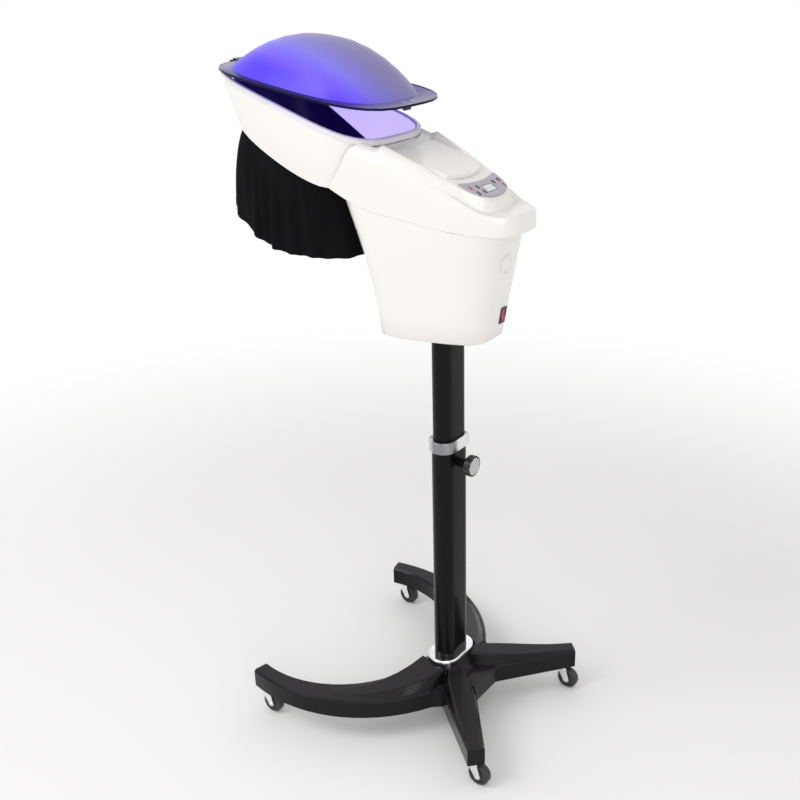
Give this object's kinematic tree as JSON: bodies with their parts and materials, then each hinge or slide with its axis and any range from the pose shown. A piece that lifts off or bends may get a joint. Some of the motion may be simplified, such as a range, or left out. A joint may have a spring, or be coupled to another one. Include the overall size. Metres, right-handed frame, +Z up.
{
  "type": "hair steamer",
  "caption": "Hair steamer: white head with a hood, tinted lift-up lid and black curtain, on a height-adjustable oval column with crescent front legs and casters.",
  "frame": {"origin": "centre of the stand's own footprint box, on the floor", "axes": "+Z up; the hood and the open side of the crescent legs point to -Y; +X is across"},
  "size_m": [0.5796, 0.7762, 1.4982],
  "materials": {
    "black_cast": "black stove enamel on a casting, gloss",
    "black_paint": "gloss",
    "chrome": "polished",
    "white_plastic": "gloss",
    "black_plastic": "gloss",
    "wheel_plastic": "satin",
    "grey_plastic": "satin",
    "panel": "satin print film",
    "display": "clear window over a pale display",
    "red_plastic": "gloss",
    "board": "matt",
    "steel": "satin",
    "boiler": "as cast",
    "tint": "clear tinted, gloss",
    "smoke": "clear smoked, gloss",
    "lamp": "lit diffuser",
    "liner": "gloss",
    "cloth": "woven, matt"
  },
  "bodies": {
    "stand": {"base_hub": "black_cast", "front_leg_left": "black_cast", "front_leg_right": "black_cast", "rear_leg_left": "black_cast", "rear_leg_right": "black_cast", "joint_plates": "steel", "leg_bolts": "steel", "base_ring": "chrome", "lower_tube": "black_paint", "tube_bush": "grey_plastic", "clamp_collar": "chrome", "caster_sockets": "grey_plastic"},
    "fork_fl": {"caster_fork_fl": "chrome"},
    "fork_fr": {"caster_fork_fr": "chrome"},
    "fork_rl": {"caster_fork_rl": "chrome"},
    "fork_rr": {"caster_fork_rr": "chrome"},
    "wheel_fl": {"caster_wheel_fl": "wheel_plastic"},
    "wheel_fr": {"caster_wheel_fr": "wheel_plastic"},
    "wheel_rl": {"caster_wheel_rl": "wheel_plastic"},
    "wheel_rr": {"caster_wheel_rr": "wheel_plastic"},
    "knob": {"clamp_knob": "black_plastic", "knob_disc": "chrome", "clamp_screw": "steel"},
    "head": {"upper_tube": "black_paint", "mast_flange": "steel", "lower_housing": "white_plastic", "upper_casing": "white_plastic", "housing_floor": "white_plastic", "floor_screws": "steel", "head_frame": "steel", "water_tank": "grey_plastic", "boiler": "boiler", "steam_duct": "grey_plastic", "steam_nozzle": "white_plastic", "circuit_board": "board", "hood_shell": "white_plastic", "hood_liner": "liner", "rim_trim": "white_plastic", "light_strip": "lamp", "curtain": "cloth", "hinge_bracket": "black_plastic", "control_panel": "panel", "display_window": "display", "indicator_lamps": "red_plastic", "cap_ring": "white_plastic", "switch_frame": "black_plastic", "power_inlet": "black_plastic"},
    "lid": {"lid_dome": "tint", "lid_flange": "smoke", "lid_catch": "black_plastic", "lid_screws": "steel", "hinge_leaf": "black_plastic"},
    "tank_lid": {"tank_cover": "white_plastic"},
    "drain": {"drain_cap": "white_plastic"},
    "rocker": {"rocker_switch": "red_plastic"},
    "key_1": {"key_1": "black_plastic"},
    "key_2": {"key_2": "black_plastic"},
    "key_3": {"key_3": "black_plastic"},
    "key_4": {"key_4": "black_plastic"},
    "key_5": {"key_5": "black_plastic"}
  },
  "joints": [
    {"name": "swivel_fl", "type": "hinge", "parent": "stand", "child": "fork_fl", "pos_m": [0.26548, -0.18377, 0.06], "axis": [0, 0, 1], "continuous": true},
    {"name": "roll_fl", "type": "hinge", "parent": "fork_fl", "child": "wheel_fl", "pos_m": [0.26548, -0.16877, 0.025], "axis": [1, 0, 0], "continuous": true},
    {"name": "swivel_fr", "type": "hinge", "parent": "stand", "child": "fork_fr", "pos_m": [-0.26548, -0.18377, 0.06], "axis": [0, 0, 1], "continuous": true},
    {"name": "roll_fr", "type": "hinge", "parent": "fork_fr", "child": "wheel_fr", "pos_m": [-0.26548, -0.16877, 0.025], "axis": [1, 0, 0], "continuous": true},
    {"name": "swivel_rl", "type": "hinge", "parent": "stand", "child": "fork_rl", "pos_m": [0.19516, 0.34808, 0.06], "axis": [0, 0, 1], "continuous": true},
    {"name": "roll_rl", "type": "hinge", "parent": "fork_rl", "child": "wheel_rl", "pos_m": [0.19516, 0.36308, 0.025], "axis": [1, 0, 0], "continuous": true},
    {"name": "swivel_rr", "type": "hinge", "parent": "stand", "child": "fork_rr", "pos_m": [-0.19516, 0.34808, 0.06], "axis": [0, 0, 1], "continuous": true},
    {"name": "roll_rr", "type": "hinge", "parent": "fork_rr", "child": "wheel_rr", "pos_m": [-0.19516, 0.36308, 0.025], "axis": [1, 0, 0], "continuous": true},
    {"name": "height_clamp", "type": "hinge", "parent": "stand", "child": "knob", "pos_m": [0, 0.19222, 0.642], "axis": [0, 1, 0], "range_deg": [0, 360]},
    {"name": "height", "type": "slide", "parent": "stand", "child": "head", "axis": [0, 0, 1], "range_m": [-0.18, 0.12]},
    {"name": "lid_hinge", "type": "hinge", "parent": "head", "child": "lid", "pos_m": [0, -0.38308, 1.43063], "axis": [1, 0, 0], "range_deg": [-8, 60]},
    {"name": "tank_hinge", "type": "hinge", "parent": "head", "child": "tank_lid", "pos_m": [0, 0.07392, 1.3011], "axis": [1, 0, 0], "range_deg": [0, 60]},
    {"name": "drain_turn", "type": "hinge", "parent": "head", "child": "drain", "pos_m": [0, 0.29074, 1.1], "axis": [0, 0.9852, -0.1713], "range_deg": [0, 90]},
    {"name": "mains_rocker", "type": "hinge", "parent": "head", "child": "rocker", "pos_m": [-0.02, 0.27028, 0.98817], "axis": [1, 0, 0], "range_deg": [-16, 0]},
    {"name": "press_1", "type": "slide", "parent": "head", "child": "key_1", "axis": [0, -0.4067, -0.9135], "range_m": [0, 0.0008], "stiffness_N_per_m": 600},
    {"name": "press_2", "type": "slide", "parent": "head", "child": "key_2", "axis": [0, -0.4067, -0.9135], "range_m": [0, 0.0008], "stiffness_N_per_m": 600},
    {"name": "press_3", "type": "slide", "parent": "head", "child": "key_3", "axis": [0, -0.4067, -0.9135], "range_m": [0, 0.0008], "stiffness_N_per_m": 600},
    {"name": "press_4", "type": "slide", "parent": "head", "child": "key_4", "axis": [0, -0.4067, -0.9135], "range_m": [0, 0.0008], "stiffness_N_per_m": 600},
    {"name": "press_5", "type": "slide", "parent": "head", "child": "key_5", "axis": [0, -0.4067, -0.9135], "range_m": [0, 0.0008], "stiffness_N_per_m": 600}
  ]
}
